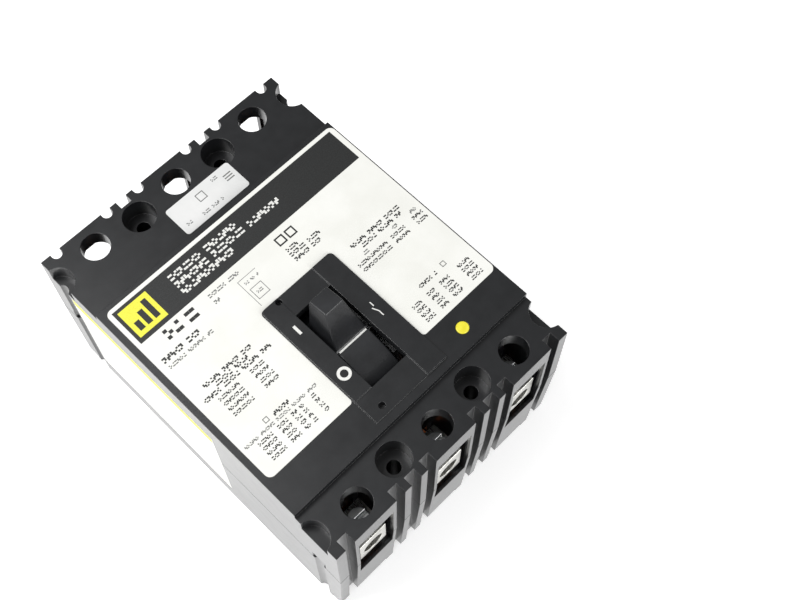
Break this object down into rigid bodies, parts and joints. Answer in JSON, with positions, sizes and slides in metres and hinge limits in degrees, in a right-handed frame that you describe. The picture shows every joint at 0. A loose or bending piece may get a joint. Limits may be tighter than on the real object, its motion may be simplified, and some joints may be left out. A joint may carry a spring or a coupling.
{
  "type": "molded case breaker",
  "caption": "Box-shaped moulded case breaker with a toggle handle, push-to-trip button, box lugs at the load end and open wire windows at the line end.",
  "frame": {"origin": "centre of the back face, which lies flat", "axes": "+Y towards the line end, +Z out of the front, +X across the poles"},
  "size_m": [0.1122, 0.1518, 0.0925],
  "materials": {
    "case_black": "moulded thermoset, satin to glossy",
    "handle_black": "moulded nylon",
    "label_white": "printed polyester film",
    "button_yellow": "moulded acetal",
    "zinc_steel": "zinc plated",
    "lug_aluminium": "tin plated",
    "copper": "bare copper",
    "contact_silver": "silver alloy",
    "bimetal": "rolled strip",
    "brown_thermoset": "moulded phenolic",
    "fibre": "vulcanised fibre"
  },
  "bodies": {
    "case": {"base": "case_black", "cover": "case_black", "rating_label": "label_white", "ledge_sticker": "label_white", "side_label": "label_white", "cover_screws": "zinc_steel", "handle_pins": "zinc_steel", "frame_left": "zinc_steel", "frame_right": "zinc_steel", "frame_pins": "zinc_steel", "cradle_pin": "zinc_steel", "braid_1": "copper", "braid_2": "copper", "braid_3": "copper", "line_terminal_1": "copper", "line_terminal_2": "copper", "line_terminal_3": "copper", "fixed_contacts": "contact_silver", "arc_plates_1": "zinc_steel", "arc_plates_2": "zinc_steel", "arc_plates_3": "zinc_steel", "arc_walls_1": "fibre", "arc_walls_2": "fibre", "arc_walls_3": "fibre", "load_terminal_1": "copper", "load_terminal_2": "copper", "load_terminal_3": "copper", "bimetal_1": "bimetal", "bimetal_2": "bimetal", "bimetal_3": "bimetal", "magnet_yoke_1": "zinc_steel", "magnet_yoke_2": "zinc_steel", "magnet_yoke_3": "zinc_steel", "armature_pins": "zinc_steel", "load_lug_1": "lug_aluminium", "load_lug_2": "lug_aluminium", "load_lug_3": "lug_aluminium"},
    "handle_arm": {"handle": "handle_black", "handle_yoke": "zinc_steel", "toggle_springs": "zinc_steel"},
    "contact_bar": {"crossbar": "brown_thermoset", "contact_arm_1": "copper", "contact_arm_2": "copper", "contact_arm_3": "copper", "moving_contacts": "contact_silver", "drive_pin": "zinc_steel"},
    "lower_link_pair": {"lower_links": "zinc_steel"},
    "cradle_arm": {"cradle": "zinc_steel"},
    "upper_link_pair": {"upper_links": "zinc_steel", "toggle_pin": "zinc_steel"},
    "common_trip_bar": {"trip_bar": "brown_thermoset", "latch_plate": "zinc_steel"},
    "push_to_trip_button": {"trip_button": "button_yellow"},
    "armature_plate_1": {"armature_1": "zinc_steel"},
    "armature_plate_2": {"armature_2": "zinc_steel"},
    "armature_plate_3": {"armature_3": "zinc_steel"},
    "clamp_screw_1": {"lug_screw_1": "zinc_steel"},
    "clamp_screw_2": {"lug_screw_2": "zinc_steel"},
    "clamp_screw_3": {"lug_screw_3": "zinc_steel"}
  },
  "joints": [
    {"name": "handle_swing", "type": "hinge", "parent": "case", "child": "handle_arm", "pos_m": [0, -0.024, 0.044], "axis": [1, 0, 0], "range_deg": [0, 24], "deforming": ["toggle_springs"]},
    {"name": "crossbar_turn", "type": "hinge", "parent": "case", "child": "contact_bar", "pos_m": [0, -0.022, 0.016], "axis": [1, 0, 0], "range_deg": [0, 24], "deforming": ["braid_1", "braid_2", "braid_3"]},
    {"name": "lower_link_swing", "type": "hinge", "parent": "contact_bar", "child": "lower_link_pair", "pos_m": [0, -0.0176, 0.0256], "axis": [1, 0, 0], "range_deg": [-13, 0]},
    {"name": "cradle_release", "type": "hinge", "parent": "case", "child": "cradle_arm", "pos_m": [0, -0.008, 0.046], "axis": [1, 0, 0], "range_deg": [-6, 0]},
    {"name": "upper_link_swing", "type": "hinge", "parent": "cradle_arm", "child": "upper_link_pair", "pos_m": [0, -0.023, 0.0445], "axis": [1, 0, 0], "range_deg": [-37, 0]},
    {"name": "trip_bar_turn", "type": "hinge", "parent": "case", "child": "common_trip_bar", "pos_m": [0, -0.0415, 0.056], "axis": [1, 0, 0], "range_deg": [0, 8], "stiffness_Nm_per_rad": 0.05, "springref_deg": -5.73},
    {"name": "button_press", "type": "slide", "parent": "case", "child": "push_to_trip_button", "axis": [0, 0, -1], "range_m": [0, 0.00109]},
    {"name": "armature_pull_1", "type": "hinge", "parent": "case", "child": "armature_plate_1", "pos_m": [-0.0381, -0.0504, 0.0155], "axis": [1, 0, 0], "range_deg": [-3.5, 0], "stiffness_Nm_per_rad": 0.05, "springref_deg": 5.73},
    {"name": "armature_pull_2", "type": "hinge", "parent": "case", "child": "armature_plate_2", "pos_m": [0, -0.0504, 0.0155], "axis": [1, 0, 0], "range_deg": [-3.5, 0], "stiffness_Nm_per_rad": 0.05, "springref_deg": 5.73},
    {"name": "armature_pull_3", "type": "hinge", "parent": "case", "child": "armature_plate_3", "pos_m": [0.0381, -0.0504, 0.0155], "axis": [1, 0, 0], "range_deg": [-3.5, 0], "stiffness_Nm_per_rad": 0.05, "springref_deg": 5.73},
    {"name": "screw_advance_1", "type": "slide", "parent": "case", "child": "clamp_screw_1", "axis": [0, 0, -1], "range_m": [0, 0.005]},
    {"name": "screw_advance_2", "type": "slide", "parent": "case", "child": "clamp_screw_2", "axis": [0, 0, -1], "range_m": [0, 0.005]},
    {"name": "screw_advance_3", "type": "slide", "parent": "case", "child": "clamp_screw_3", "axis": [0, 0, -1], "range_m": [0, 0.005]}
  ],
  "couplings": [
    {"joint": "crossbar_turn", "follows": "handle_swing", "ratio": 1},
    {"joint": "upper_link_swing", "follows": "handle_swing", "ratio": -1.511},
    {"joint": "lower_link_swing", "follows": "handle_swing", "ratio": -0.522},
    {"joint": "button_press", "follows": "trip_bar_turn", "m_per_rad": 0.0078}
  ]
}
